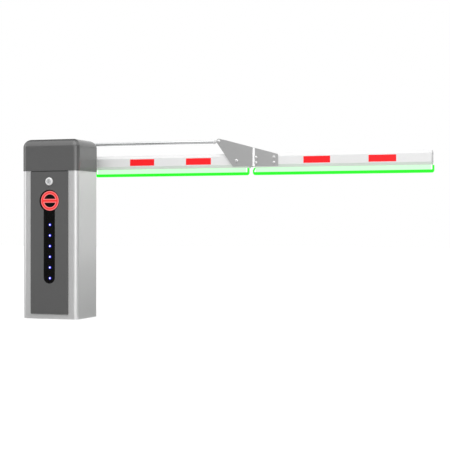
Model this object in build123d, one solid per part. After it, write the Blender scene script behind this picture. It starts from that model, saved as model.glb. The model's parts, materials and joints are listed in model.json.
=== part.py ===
from build123d import *
from math import atan2, hypot, tan
import os

# Folding-arm parking barrier. Millimetres, +Z up, origin at the centre of the cabinet's foot
# on the ground, +X along the lowered boom to its tip, +Y away from the cabinet's service door.

# Cabinet shell, folded from sheet steel
CABINET_WIDTH = 342.0
CABINET_DEPTH = 264.0
CORNER_RADIUS = 26.0
SHEET = 2.5
WALL_TOP = 850.0
OPENING_HALF = 112.0
JAMB_DEPTH = 18.0
BASE_THICK = 8.0
RAIL_TOP = 32.0
HEAD_RAIL_BOTTOM = 812.0

# Anchor bolts and cable slot in the base plate
ANCHOR_X = 240.0
ANCHOR_Y = 180.0
ANCHOR_RADIUS = 7.0
CABLE_SLOT = (90.0, 46.0)
CABLE_SLOT_Y = 60.0

# Service door, which lies over the edges of the opening
DOOR_HALF = 116.0
DOOR_BOTTOM = 28.0
DOOR_TOP = 821.0
DOOR_PROUD = 4.0
DOOR_SHEET = 2.0
DOOR_CORNER = 3.0
DOOR_FRAME_DEPTH = 20.0
DOOR_FRAME_GAP = 3.0

# Keyhole-shaped display let into the door
DISPLAY_Z = 657.5
DISPLAY_RADIUS = 61.0
SLOT_HALF = 35.0
SLOT_END_Z = 232.5
KEYHOLE_FILLET = 9.0
DISPLAY_DEPTH = 9.0
TRAY_WALL = 2.0
RING_OUTER = 54.6
RING_INNER = 36.0
RING_BAR = 21.0
RING_LIFT = 3.0
LED_COUNT = 6
LED_TOP_Z = 524.0
LED_PITCH = 59.3
LED_RADIUS = 8.0
LED_LIFT = 3.0

# Door lock
LOCK_Z = 765.0
LOCK_RADIUS = 22.5
LOCK_BARREL_RADIUS = 14.5
LOCK_LIFT = 8.0

# Top cap
CAP_OVERHANG = 3.0
CAP_BOTTOM = 824.0
CAP_TOP = 1001.5
CAP_CORNER = 30.0
CAP_TOP_FILLET = 44.0
CAP_INSIDE_CUT = 27.0
CAP_WALL = 2.5
CAP_TOP_WALL = 6.0
CAP_LEDGE = 12.0
CAP_REAR_GAP = 180.0
CAP_NOTCH_HALF = 30.0

# Main shaft, its bearing and the drive behind it
SHAFT_Z = 879.0
SHAFT_RADIUS = 20.0
SHAFT_INNER_Y = 62.0
RUNNING = 0.05
BEARING_RADIUS = 45.0
BEARING_HUB = 37.0
BEARING_PLATE = 6.0
BEARING_PLATE_HALF = 80.0
BEARING_PLATE_Z = (620.0, 940.0)
SHELF_Z = 700.0
SHELF_THICK = 5.0
SHELF_TURNDOWN = 40.0
SHELF_FRONT = -104.0
SHELF_BACK = 104.0
GEAR_CASE_WIDTH = 140.0
GEAR_CASE_FRONT = 5.0
GEAR_CASE_TOP = 940.0
GEAR_CASE_CORNER = 18.0
GEAR_BOSS_RADIUS = 33.0
MOTOR_Z = 775.0
MOTOR_RADIUS = 50.0
MOTOR_LENGTH = 100.0

# Fixed end of the tie rod, on the back of the cabinet
ANCHOR_FOOT_Z = (690.0, 812.0)
ANCHOR_FOOT_WIDTH = 62.0
ANCHOR_FOOT_SHIFT = 2.0
ANCHOR_HEAD_RADIUS = 20.0
ANCHOR_PLATE = 8.0
ANCHOR_CLEAR = 3.0

# Boom: an octagonal tube in two lengths
BOOM_FACE_Y = 191.5
BOOM_THICK = 48.0
BOOM_HEIGHT = 80.0
BOOM_CHAMFER = 17.0
BOOM_WALL = 2.0
BOOM_MID_Y = BOOM_FACE_Y + BOOM_THICK / 2
BOOM_BACK_Y = BOOM_FACE_Y + BOOM_THICK
PLUG_FLANGE = 3.0
PLUG_DEPTH = 15.0
INNER_START = -75.0
INNER_END = 1060.0
OUTER_START = 1092.0
OUTER_END = 2067.0

# Lamp strip under each length
STRIP_HEIGHT = 40.0
STRIP_THICK = 14.0
STRIP_CORNER = 14.0
STRIP_RIM = 16.5
STRIP_END_RIM = 9.0
STRIP_CORE_CORNER = 3.0
STRIP_CLEAR = 5.0
INNER_STRIP_X = (120.0, 1053.0)
OUTER_STRIP_END = 2075.0

# Clamp that holds the boom on the shaft flange
FLANGE_RADIUS = 55.0
FLANGE_THICK = 10.0
CLAMP_SIZE = (150.0, 130.0)
CLAMP_THICK = 8.0
CLAMP_BOLT_X = 55.0
CLAMP_BOLT_Z = 54.0

# Folding linkage: a parallelogram. The boom turns on the shaft, the bracket turns on the
# boom, and the tie rod runs parallel to the boom at LINK_X, LINK_Z from it at both ends.
FOLD_X = 991.5
LINK_X = -105.0
LINK_Z = 110.0
EAR_X = FOLD_X + LINK_X
EAR_Z = SHAFT_Z + LINK_Z
ANCHOR_PIN_X = LINK_X

# Fold bracket: two formed plates
PLATE = 4.0
PLATE_STAND_OFF = 8.0
EAR_RADIUS = 14.0
JOGGLE_X = 1082.5
JOGGLE_RUN = 10.0
BRACKET_LEFT = 969.0
BRACKET_RIGHT = 1227.5
BRACKET_BOTTOM = 846.0
BRACKET_CORNER_Z = 904.0
BRACKET_CORNER_RADIUS = 10.0
BRACKET_BOLTS_X = (1101.5, 1204.5)
BRACKET_BOLTS_Z = (866.5, 896.5)

# Pins, bolts and rod
PIN_RADIUS = 6.0
BOLT_RADIUS = 5.0
BOLT_HOLE = 5.2
HEAD_FLATS = 16.0
HEAD_HIGH = 6.4
DOME_HIGH = 4.5
PIN_HEAD_RADIUS = 8.0
SMALL_BOLT_RADIUS = 3.0
SMALL_BOLT_HOLE = 3.2
SMALL_HEAD_RADIUS = 6.0
SMALL_NUT_FLATS = 10.0
SMALL_NUT_HIGH = 5.0
ROD_RADIUS = 10.0
ROD_WALL = 2.5
ROD_EYE_RADIUS = 14.0
ROD_EYE_THICK = 18.0
ROD_START = -76.0
ROD_END = 844.0
JAM_NUT = 8.0
OPEN_PIVOT = 0.3

# Faces worked out from the sizes above
FRONT_Y = -CABINET_DEPTH / 2
REAR_Y = CABINET_DEPTH / 2
SIDE_X = CABINET_WIDTH / 2
DOOR_FACE_Y = FRONT_Y - DOOR_PROUD
TRAY_FLOOR_Y = DOOR_FACE_Y + DISPLAY_DEPTH
CAP_REAR_Y = REAR_Y + CAP_OVERHANG
ANCHOR_FACE_Y = CAP_REAR_Y + ANCHOR_CLEAR
STRIP_TOP = SHAFT_Z - BOOM_HEIGHT / 2
STRIP_BOTTOM = STRIP_TOP - STRIP_HEIGHT


def block(x, y, z):
    """A plain plate or bar from its low and high face on each axis."""
    centre = Pos((x[0] + x[1]) / 2, (y[0] + y[1]) / 2, (z[0] + z[1]) / 2)
    return centre * Box(x[1] - x[0], y[1] - y[0], z[1] - z[0])


def slab(outline, y0, y1):
    """An outline drawn in X and Z, thickened from y0 to y1."""
    return extrude(Plane.XZ.offset(-y1) * outline, amount=y1 - y0)


def length(profile, x0, x1):
    """A profile drawn in Y and Z, drawn out along X."""
    return extrude(Plane.YZ.offset(x0) * profile, amount=x1 - x0)


def column(profile, z0, z1):
    """A plan drawn in X and Y, raised from z0 to z1."""
    return extrude(Pos(0, 0, z0) * profile, amount=z1 - z0)


def turned(pairs, x, z):
    """A round piece about an axis along Y; each pair is a radius and a Y."""
    face = make_face(Polyline(*pairs, close=True))
    return Pos(x, 0, z) * revolve(face, axis=Axis.Y)


def disc(radius, x, z, y0, y1):
    """A round bar along Y."""
    return slab(Pos(x, z) * Circle(radius), y0, y1)


def hexagon(x, z, flats, y0, y1):
    """A six-sided head or nut along Y."""
    return slab(Pos(x, z) * RegularPolygon(flats / 2, 6, major_radius=False), y0, y1)


def hex_bolt(x, z, head_y, nut_y):
    """A hexagon bolt along Y with its head before head_y and its nut behind nut_y."""
    shank = disc(BOLT_RADIUS, x, z, head_y - 1, nut_y + HEAD_HIGH + 3)
    head = hexagon(x, z, HEAD_FLATS, head_y - HEAD_HIGH, head_y)
    nut = hexagon(x, z, HEAD_FLATS, nut_y, nut_y + HEAD_HIGH)
    return shank + head + nut


def dome_bolt(x, z, radius, head_radius, head_y, nut_y, nut_flats, nut_high):
    """A button-headed bolt along Y: the crown of its head is cut in three steps."""
    crown_y = head_y - DOME_HIGH
    tail_y = nut_y + nut_high + 2
    pairs = [(0, crown_y), (0.5 * head_radius, crown_y), (0.84 * head_radius, head_y - 0.62 * DOME_HIGH)]
    pairs += [(head_radius, head_y - 1), (head_radius, head_y), (radius, head_y), (radius, tail_y)]
    pairs += [(0, tail_y)]
    return turned(pairs, x, z) + hexagon(x, z, nut_flats, nut_y, nut_y + nut_high)


def pivot_bolt(x, z):
    """A bolt that a joint turns on, through both plates of the fold bracket."""
    far = PLATE_STAND_OFF + PLATE
    sizes = (PIN_RADIUS, PIN_HEAD_RADIUS, BOOM_FACE_Y - far, BOOM_BACK_Y + far, HEAD_FLATS, HEAD_HIGH)
    return dome_bolt(x, z, *sizes)


def shell_ring():
    """The plan of the folded wall, all the way round."""
    outer = RectangleRounded(CABINET_WIDTH, CABINET_DEPTH, CORNER_RADIUS)
    inner = RectangleRounded(
        CABINET_WIDTH - 2 * SHEET, CABINET_DEPTH - 2 * SHEET, CORNER_RADIUS - SHEET
    )
    return outer - inner


def side_wall(side):
    """One side of the shell: front stile, round corners, side and rear stile in one fold."""
    reach = SIDE_X - OPENING_HALF
    window = Pos(side * (OPENING_HALF + reach / 2), 0) * Rectangle(reach, CABINET_DEPTH)
    wall = column(shell_ring() & window, 0, WALL_TOP)
    jamb_x = sorted((side * OPENING_HALF, side * (OPENING_HALF + SHEET)))
    for end in (-1, 1):
        inner_y = end * (REAR_Y - SHEET)
        jamb_y = sorted((inner_y, inner_y - end * JAMB_DEPTH))
        wall += block(jamb_x, jamb_y, (BASE_THICK, WALL_TOP))
    return wall


def rear_panel():
    """The back, a shallow channel bolted between the rear stiles, cut out round the bearing."""
    panel = block((-OPENING_HALF, OPENING_HALF), (REAR_Y - SHEET, REAR_Y), (0, WALL_TOP))
    for side in (-1, 1):
        flange_x = sorted((side * OPENING_HALF, side * (OPENING_HALF - SHEET)))
        flange_y = (REAR_Y - SHEET - JAMB_DEPTH, REAR_Y - SHEET)
        panel += block(flange_x, flange_y, (BASE_THICK, WALL_TOP))
    return panel - disc(BEARING_RADIUS + 2, 0, SHAFT_Z, REAR_Y - 10, REAR_Y + 1)


def front_rail(z0, z1, flange_z):
    """A cross rail of the door opening, with its edge folded inwards."""
    plate = block((-OPENING_HALF, OPENING_HALF), (FRONT_Y, FRONT_Y + SHEET), (z0, z1))
    flange_y = (FRONT_Y + SHEET, FRONT_Y + SHEET + JAMB_DEPTH)
    return plate + block((-OPENING_HALF, OPENING_HALF), flange_y, (flange_z, flange_z + SHEET))


def base_plate():
    """The foot, with four anchor holes and a rounded slot for the cables."""
    plan = RectangleRounded(
        CABINET_WIDTH - 2 * SHEET, CABINET_DEPTH - 2 * SHEET, CORNER_RADIUS - SHEET
    )
    plan -= GridLocations(ANCHOR_X, ANCHOR_Y, 2, 2) * Circle(ANCHOR_RADIUS)
    plan -= Pos(0, CABLE_SLOT_Y) * RectangleRounded(*CABLE_SLOT, 12)
    return column(plan, 0, BASE_THICK)


def keyhole(grow=0.0):
    """The outline of the display: a disc run into a round-ended slot, softened where they meet."""
    disc_part = Pos(0, DISPLAY_Z) * Circle(DISPLAY_RADIUS)
    slot_mid = (DISPLAY_Z + SLOT_END_Z) / 2
    slot = Pos(0, slot_mid) * Rectangle(2 * SLOT_HALF, DISPLAY_Z - SLOT_END_Z)
    foot = Pos(0, SLOT_END_Z) * Circle(SLOT_HALF)
    outline = disc_part + slot + foot
    neck = outline.vertices().filter_by_position(Axis.Y, SLOT_END_Z + 50, DISPLAY_Z - 20)
    outline = fillet(neck, KEYHOLE_FILLET)
    return offset(outline, grow) if grow else outline


def service_door():
    """The dark door: a lipped sheet over the opening, with a stiffening frame inside it."""
    height = DOOR_TOP - DOOR_BOTTOM
    mid = (DOOR_TOP + DOOR_BOTTOM) / 2
    outer = Pos(0, mid) * RectangleRounded(2 * DOOR_HALF, height, DOOR_CORNER)
    lip = outer - Pos(0, mid) * Rectangle(2 * (DOOR_HALF - 2.5), height - 5)
    frame_half = OPENING_HALF - DOOR_FRAME_GAP
    frame_low = RAIL_TOP + DOOR_FRAME_GAP
    frame_high = HEAD_RAIL_BOTTOM - DOOR_FRAME_GAP
    frame_mid = (frame_low + frame_high) / 2
    frame = Rectangle(2 * frame_half, frame_high - frame_low)
    frame -= Rectangle(2 * (frame_half - DOOR_SHEET), frame_high - frame_low - 2 * DOOR_SHEET)
    skin_back = DOOR_FACE_Y + DOOR_SHEET
    door = slab(outer - keyhole(), DOOR_FACE_Y, skin_back)
    door += slab(lip, skin_back, FRONT_Y)
    door += slab(Pos(0, frame_mid) * frame, skin_back, skin_back + DOOR_FRAME_DEPTH)
    return door - disc(LOCK_BARREL_RADIUS, 0, LOCK_Z, DOOR_FACE_Y - 1, skin_back + 1)


def led_places():
    """Centres of the status lamps, from the top down."""
    return [LED_TOP_Z - i * LED_PITCH for i in range(LED_COUNT)]


def display_tray():
    """The black dish that the lamps sit in."""
    back = TRAY_FLOOR_Y + TRAY_WALL
    tray = slab(keyhole(), DOOR_FACE_Y, back)
    tray -= slab(keyhole(-TRAY_WALL), DOOR_FACE_Y, TRAY_FLOOR_Y)
    for z in led_places():
        tray -= disc(LED_RADIUS, 0, z, TRAY_FLOOR_Y, back)
    return tray


def ring_light():
    """The red stop lamp: a ring with a bar across it, its front edges eased."""
    ring = Circle(RING_OUTER) - Circle(RING_INNER)
    bar = Rectangle(2 * RING_INNER + 4, RING_BAR)
    lamp = slab(Pos(0, DISPLAY_Z) * (ring + bar), TRAY_FLOOR_Y - RING_LIFT, TRAY_FLOOR_Y)
    front = lamp.faces().sort_by(Axis.Y)[0]
    return chamfer(front.edges(), 1.0)


def status_leds():
    """The row of small round lenses, each with its rim cut back."""
    lenses = []
    back = TRAY_FLOOR_Y + TRAY_WALL
    for z in led_places():
        lens = disc(LED_RADIUS, 0, z, TRAY_FLOOR_Y - LED_LIFT, back)
        rim = lens.edges().group_by(Axis.Y)[0]
        lenses.append(chamfer(rim, LED_LIFT - 1))
    return Compound(children=[lens.solid() for lens in lenses])


def lock_collar():
    """The chrome collar of the lock, crowned and hollow."""
    y = DOOR_FACE_Y
    pairs = [(LOCK_BARREL_RADIUS, y), (LOCK_RADIUS, y), (LOCK_RADIUS, y - 4)]
    pairs += [(LOCK_RADIUS - 3, y - LOCK_LIFT), (LOCK_BARREL_RADIUS, y - LOCK_LIFT)]
    return turned(pairs, 0, LOCK_Z)


def lock_barrel():
    """The turning core of the lock, with its key slot and the cam behind the door."""
    barrel = disc(LOCK_BARREL_RADIUS, 0, LOCK_Z, DOOR_FACE_Y - LOCK_LIFT + 1.5, DOOR_FACE_Y + 18)
    slot = block((-1.5, 1.5), (DOOR_FACE_Y - LOCK_LIFT, DOOR_FACE_Y - 2), (LOCK_Z - 8, LOCK_Z + 8))
    cam = block((-9, 9), (DOOR_FACE_Y + 18, DOOR_FACE_Y + 21), (LOCK_Z - 14, LOCK_Z + 34))
    return barrel - slot + cam


def cap_plan(inset):
    """The plan of the cap, drawn in from its outside."""
    width = CABINET_WIDTH + 2 * (CAP_OVERHANG - inset)
    depth = CABINET_DEPTH + 2 * (CAP_OVERHANG - inset)
    return RectangleRounded(width, depth, CAP_CORNER - inset)


def top_cap():
    """The dark cover: a shell that drops over the walls and rests on a ledge inside."""
    cap = column(cap_plan(0), CAP_BOTTOM, CAP_TOP)
    cap = fillet(cap.faces().sort_by(Axis.Z)[-1].edges(), CAP_TOP_FILLET)
    hollow = column(cap_plan(CAP_WALL), CAP_BOTTOM, CAP_TOP - CAP_TOP_WALL)
    hollow = chamfer(hollow.faces().sort_by(Axis.Z)[-1].edges(), CAP_INSIDE_CUT)
    ledge = cap_plan(CAP_WALL) - cap_plan(CAP_WALL + CAP_LEDGE)
    ledge -= Pos(0, CABINET_DEPTH / 2) * Rectangle(CAP_REAR_GAP, 2 * (CAP_LEDGE + CAP_OVERHANG))
    cap = cap - hollow + column(ledge, WALL_TOP, WALL_TOP + CAP_WALL)
    notch = disc(CAP_NOTCH_HALF, 0, SHAFT_Z, REAR_Y, CAP_REAR_Y + 1)
    notch += block(
        (-CAP_NOTCH_HALF, CAP_NOTCH_HALF), (REAR_Y, CAP_REAR_Y + 1), (CAP_BOTTOM - 1, SHAFT_Z)
    )
    return cap - notch


def bearing_plate():
    """A thick plate on the inside of the back that carries the shaft bearing."""
    outer = REAR_Y - SHEET
    half = BEARING_PLATE_HALF
    plate = block((-half, half), (outer - BEARING_PLATE, outer), BEARING_PLATE_Z)
    return plate - disc(BEARING_HUB, 0, SHAFT_Z, outer - BEARING_PLATE, outer)


def shaft_bearing():
    """The flanged bearing that the shaft runs in."""
    inner = REAR_Y - SHEET - BEARING_PLATE
    outer = REAR_Y - SHEET
    bore = SHAFT_RADIUS + RUNNING
    pairs = [(bore, inner), (BEARING_HUB, inner), (BEARING_HUB, outer)]
    pairs += [(BEARING_RADIUS, outer), (BEARING_RADIUS, outer + 2.5)]
    pairs += [(28, outer + 2.5), (26, outer + 5), (bore, outer + 5)]
    return turned(pairs, 0, SHAFT_Z)


def drive_shelf():
    """The shelf that carries the drive, with its ends turned down against the side walls."""
    half = SIDE_X - SHEET
    under = SHELF_Z - SHELF_THICK
    shelf = block((-half, half), (SHELF_FRONT, SHELF_BACK), (under, SHELF_Z))
    for side in (-1, 1):
        end_x = sorted((side * half, side * (half - SHELF_THICK)))
        shelf += block(end_x, (SHELF_FRONT, SHELF_BACK), (SHELF_Z - SHELF_TURNDOWN, under))
    return shelf


def drive_gearbox():
    """The cast gear case on the shelf, with a boss that meets the bearing plate."""
    deep = SHELF_BACK - GEAR_CASE_FRONT
    plan = RectangleRounded(GEAR_CASE_WIDTH, deep, GEAR_CASE_CORNER)
    case = column(Pos(0, GEAR_CASE_FRONT + deep / 2) * plan, SHELF_Z, GEAR_CASE_TOP)
    case += disc(GEAR_BOSS_RADIUS, 0, SHAFT_Z, SHELF_BACK, REAR_Y - SHEET - BEARING_PLATE)
    return case - disc(SHAFT_RADIUS + RUNNING, 0, SHAFT_Z, SHAFT_INNER_Y - 2, REAR_Y)


def drive_motor():
    """The motor on the front of the gear case: flange, body and fan cover."""
    back = GEAR_CASE_FRONT
    front = back - MOTOR_LENGTH
    waist = MOTOR_RADIUS - 5
    pairs = [(0, back), (MOTOR_RADIUS, back), (MOTOR_RADIUS, back - 8), (waist, back - 8)]
    pairs += [(waist, front + 30), (MOTOR_RADIUS, front + 30), (MOTOR_RADIUS, front + 8)]
    pairs += [(MOTOR_RADIUS - 8, front), (0, front)]
    return turned(pairs, 0, MOTOR_Z)


def rod_anchor_bracket():
    """The upright on the back that holds the fixed end of the tie rod behind the cap."""
    low, high = ANCHOR_FOOT_Z
    centre = (ANCHOR_PIN_X + ANCHOR_FOOT_SHIFT, (low + high) / 2)
    with BuildSketch() as outline:
        with Locations((ANCHOR_PIN_X, EAR_Z)):
            Circle(ANCHOR_HEAD_RADIUS)
        with Locations(centre):
            RectangleRounded(ANCHOR_FOOT_WIDTH, high - low, 8)
        make_hull()
    foot = Pos(*centre) * RectangleRounded(ANCHOR_FOOT_WIDTH, high - low, 8)
    bracket = slab(outline.sketch, ANCHOR_FACE_Y, ANCHOR_FACE_Y + ANCHOR_PLATE)
    bracket += slab(foot, REAR_Y, ANCHOR_FACE_Y)
    return bracket - disc(PIN_RADIUS, ANCHOR_PIN_X, EAR_Z, REAR_Y, ANCHOR_FACE_Y + ANCHOR_PLATE)


def anchor_pin():
    """The fixed pin of the linkage: nut, shoulder, journal for the rod eye and end washer."""
    back = ANCHOR_FACE_Y + ANCHOR_PLATE
    eye_low = BOOM_MID_Y - ROD_EYE_THICK / 2
    eye_high = BOOM_MID_Y + ROD_EYE_THICK / 2
    pairs = [(0, ANCHOR_FACE_Y - 1.5), (PIN_RADIUS, ANCHOR_FACE_Y - 1.5), (PIN_RADIUS, back)]
    pairs += [(13, back), (13, back + 5), (10, back + 8), (10, eye_low - 0.3)]
    pairs += [(PIN_RADIUS, eye_low - 0.3), (PIN_RADIUS, eye_high + 0.3)]
    pairs += [(12, eye_high + 0.3), (12, eye_high + 3), (9, eye_high + 3)]
    pairs += [(9, eye_high + 10), (0, eye_high + 10)]
    return turned(pairs, ANCHOR_PIN_X, EAR_Z)


def octagon(inset=0.0):
    """The boom's section: a tall rectangle with its corners cut at 45 degrees."""
    outline = chamfer(Rectangle(BOOM_THICK, BOOM_HEIGHT).vertices(), BOOM_CHAMFER)
    if inset:
        outline = offset(outline, -inset)
    return Pos(BOOM_MID_Y, SHAFT_Z) * outline


def boom_tube(x0, x1):
    """A length of the hollow boom."""
    return length(octagon() - octagon(BOOM_WALL), x0, x1)


def boom_plug(face_x, inward):
    """An end plug: a flange of the boom's outline and a spigot that fits inside it."""
    flange_x = sorted((face_x, face_x + inward * PLUG_FLANGE))
    spigot_x = sorted((face_x + inward * PLUG_FLANGE, face_x + inward * (PLUG_FLANGE + PLUG_DEPTH)))
    return length(octagon(), *flange_x) + length(octagon(BOOM_WALL), *spigot_x)


def strip_outline(x0, x1, low, corner):
    """The side view of a lamp strip with its two lower corners rounded."""
    outline = Pos((x0 + x1) / 2, (STRIP_TOP + low) / 2) * Rectangle(x1 - x0, STRIP_TOP - low)
    return fillet(outline.vertices().group_by(Axis.Y)[0], corner)


def strip_bodies(whole, core):
    """A strip's opal core and the bright edge round it, from their side views."""
    low = BOOM_MID_Y - STRIP_THICK / 2
    high = BOOM_MID_Y + STRIP_THICK / 2
    solid_core = slab(core, low, high)
    return solid_core, slab(whole, low, high) - solid_core


def inner_strip():
    """The lamp strip of the inner boom."""
    x0, x1 = INNER_STRIP_X
    whole = strip_outline(x0, x1, STRIP_BOTTOM, STRIP_CORNER)
    core_x = (x0 + STRIP_END_RIM, x1 - STRIP_END_RIM)
    core = strip_outline(*core_x, STRIP_BOTTOM + STRIP_RIM, STRIP_CORE_CORNER)
    return strip_bodies(whole, core)


def outer_strip():
    """The lamp strip of the outer boom.

    The folding boom swings the inner strip past its near end. So it begins beyond the inner
    strip's lower face as it stands when folded, and its upper corner is cut back round the
    sweep of the inner strip's rounded end about the fold pin.
    """
    depth = SHAFT_Z - STRIP_BOTTOM
    x0 = FOLD_X + depth + STRIP_CLEAR
    whole = strip_outline(x0, OUTER_STRIP_END, STRIP_BOTTOM, STRIP_CORNER)
    core_x = (x0 + STRIP_END_RIM, OUTER_STRIP_END - STRIP_END_RIM)
    core = strip_outline(*core_x, STRIP_BOTTOM + STRIP_RIM, STRIP_CORE_CORNER)
    corner_x = INNER_STRIP_X[1] - FOLD_X - STRIP_CORNER
    reach = hypot(corner_x, depth - STRIP_CORNER) + STRIP_CORNER + STRIP_CLEAR
    pin = Pos(FOLD_X, SHAFT_Z)
    return strip_bodies(whole - pin * Circle(reach), core - pin * Circle(reach + STRIP_END_RIM))


def main_shaft():
    """The output shaft with the flange that carries the boom clamp."""
    low = BOOM_FACE_Y - CLAMP_THICK - FLANGE_THICK
    high = BOOM_FACE_Y - CLAMP_THICK
    pairs = [(0, SHAFT_INNER_Y), (SHAFT_RADIUS, SHAFT_INNER_Y), (SHAFT_RADIUS, 140), (26, 142)]
    pairs += [(26, low - 6), (32, low), (FLANGE_RADIUS, low), (FLANGE_RADIUS, high), (0, high)]
    return turned(pairs, 0, SHAFT_Z)


def clamp_plate(y0, y1):
    """One jaw of the boom clamp, drilled above and below the boom."""
    outline = RectangleRounded(*CLAMP_SIZE, 16)
    outline -= GridLocations(2 * CLAMP_BOLT_X, 2 * CLAMP_BOLT_Z, 2, 2) * Circle(BOLT_HOLE)
    return slab(Pos(0, SHAFT_Z) * outline, y0, y1)


def clamp_bolts():
    """The four bolts that squeeze the boom between the jaws."""
    bolts = []
    for x in (-CLAMP_BOLT_X, CLAMP_BOLT_X):
        for z in (SHAFT_Z - CLAMP_BOLT_Z, SHAFT_Z + CLAMP_BOLT_Z):
            bolt = hex_bolt(x, z, BOOM_FACE_Y - CLAMP_THICK, BOOM_BACK_Y + CLAMP_THICK)
            bolts.append(bolt.solid())
    return Compound(children=bolts)


def fold_bushes():
    """Two flanged bushes let into the boom, one from each face, for the fold pin."""
    bore = PIN_RADIUS + RUNNING
    flange = PLATE_STAND_OFF - 0.4
    front = [(bore, BOOM_FACE_Y - flange), (20, BOOM_FACE_Y - flange), (20, BOOM_FACE_Y)]
    front += [(11, BOOM_FACE_Y), (11, BOOM_FACE_Y + 14), (bore, BOOM_FACE_Y + 14)]
    rear = [(radius, 2 * BOOM_MID_Y - y) for radius, y in front]
    return Compound(children=[turned(p, FOLD_X, SHAFT_Z).solid() for p in (front, rear)])


def inner_tube():
    """The inner length of the boom, bored for the bushes."""
    tube = boom_tube(INNER_START + PLUG_FLANGE, INNER_END - PLUG_FLANGE)
    return tube - disc(11, FOLD_X, SHAFT_Z, BOOM_FACE_Y - 1, BOOM_BACK_Y + 1)


def bolt_places():
    """Centres of the bolts that hold the bracket on the outer boom."""
    return [(x, z) for x in BRACKET_BOLTS_X for z in BRACKET_BOLTS_Z]


def outer_tube():
    """The outer length of the boom, drilled for the bracket's bolts."""
    tube = boom_tube(OUTER_START + PLUG_FLANGE, OUTER_END - PLUG_FLANGE)
    for x, z in bolt_places():
        tube -= disc(SMALL_BOLT_HOLE, x, z, BOOM_FACE_Y - 1, BOOM_BACK_Y + 1)
    return tube


def outer_root_plug():
    """The plug at the fold end of the outer boom, drilled for the nearer pair of bolts."""
    plug = boom_plug(OUTER_START, 1)
    for x, z in bolt_places():
        plug -= disc(SMALL_BOLT_HOLE, x, z, BOOM_FACE_Y - 1, BOOM_BACK_Y + 1)
    return plug


def bracket_outline():
    """The side view of a bracket plate: an ear, a sloping back and a square foot."""
    corner = (BRACKET_RIGHT - BRACKET_CORNER_RADIUS, BRACKET_CORNER_Z)
    with BuildSketch() as outline:
        with Locations((EAR_X, EAR_Z)):
            Circle(EAR_RADIUS)
        with Locations(corner):
            Circle(BRACKET_CORNER_RADIUS)
        with Locations(((BRACKET_LEFT + BRACKET_RIGHT) / 2, BRACKET_BOTTOM + 2)):
            Rectangle(BRACKET_RIGHT - BRACKET_LEFT, 4)
        make_hull()
    return outline.sketch


def bracket_plan():
    """The front plate seen from above: stood off at the fold, joggled in to seat on the boom."""
    seat = BOOM_FACE_Y
    far = seat - PLATE_STAND_OFF
    slant = PLATE * tan(atan2(PLATE_STAND_OFF, JOGGLE_RUN) / 2)
    points = [(EAR_X - 20, far), (JOGGLE_X, far), (JOGGLE_X + JOGGLE_RUN, seat)]
    points += [(BRACKET_RIGHT, seat), (BRACKET_RIGHT, seat - PLATE)]
    points += [(JOGGLE_X + JOGGLE_RUN + slant, seat - PLATE), (JOGGLE_X + slant, far - PLATE)]
    points += [(EAR_X - 20, far - PLATE)]
    return make_face(Polyline(*points, close=True))


def bracket_front():
    """The front fold plate: its side view cut out of the joggled sheet."""
    sheet = column(bracket_plan(), BRACKET_BOTTOM, EAR_Z + EAR_RADIUS)
    plate = sheet & slab(bracket_outline(), BOOM_FACE_Y - 40, BOOM_FACE_Y + 1)
    for x, z in bolt_places():
        plate -= disc(SMALL_BOLT_HOLE, x, z, BOOM_FACE_Y - 40, BOOM_FACE_Y + 1)
    for x, z in ((FOLD_X, SHAFT_Z), (EAR_X, EAR_Z)):
        plate -= disc(PIN_RADIUS + RUNNING, x, z, BOOM_FACE_Y - 40, BOOM_FACE_Y + 1)
    return plate


def bracket_rear():
    """The rear fold plate, the mirror of the front one."""
    return mirror(bracket_front(), about=Plane.XZ.offset(-BOOM_MID_Y))


def bracket_bolts():
    """The four bolts through both plates and the outer boom."""
    sizes = (SMALL_BOLT_RADIUS, SMALL_HEAD_RADIUS, BOOM_FACE_Y - PLATE, BOOM_BACK_Y + PLATE)
    sizes += (SMALL_NUT_FLATS, SMALL_NUT_HIGH)
    return Compound(children=[dome_bolt(x, z, *sizes).solid() for x, z in bolt_places()])


def ear_spacers():
    """Two sleeves that centre the rod eye between the plates."""
    bore = PIN_RADIUS + RUNNING
    eye_low = BOOM_MID_Y - ROD_EYE_THICK / 2 - 0.3
    front = [(bore, BOOM_FACE_Y - PLATE_STAND_OFF), (10, BOOM_FACE_Y - PLATE_STAND_OFF)]
    front += [(10, eye_low), (bore, eye_low)]
    rear = [(radius, 2 * BOOM_MID_Y - y) for radius, y in front]
    return Compound(children=[turned(p, EAR_X, EAR_Z).solid() for p in (front, rear)])


def rod_end(eye_x, toward, tube_x, clearance):
    """A rod end: an eye and a threaded shank that screws into the tube."""
    low = BOOM_MID_Y - ROD_EYE_THICK / 2
    eye = disc(ROD_EYE_RADIUS, eye_x, EAR_Z, low, low + ROD_EYE_THICK)
    shank_x = sorted((eye_x, tube_x + toward * 22))
    eye += length(Pos(BOOM_MID_Y, EAR_Z) * Circle(ROD_RADIUS - ROD_WALL), *shank_x)
    return eye - disc(PIN_RADIUS + clearance, eye_x, EAR_Z, low - 1, low + ROD_EYE_THICK + 1)


def tie_rod_bar():
    """The bright steel tube between the rod ends."""
    centre = Pos(BOOM_MID_Y, EAR_Z)
    section = centre * (Circle(ROD_RADIUS) - Circle(ROD_RADIUS - ROD_WALL))
    return length(section, ROD_START, ROD_END)


def jam_nuts():
    """The nut that locks each rod end against the tube."""
    section = RegularPolygon(12, 6, major_radius=False) - Circle(ROD_RADIUS - ROD_WALL)
    placed = Pos(BOOM_MID_Y, EAR_Z) * section
    near = length(placed, ROD_START - JAM_NUT, ROD_START)
    far = length(placed, ROD_END, ROD_END + JAM_NUT)
    return Compound(children=[near.solid(), far.solid()])


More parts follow.
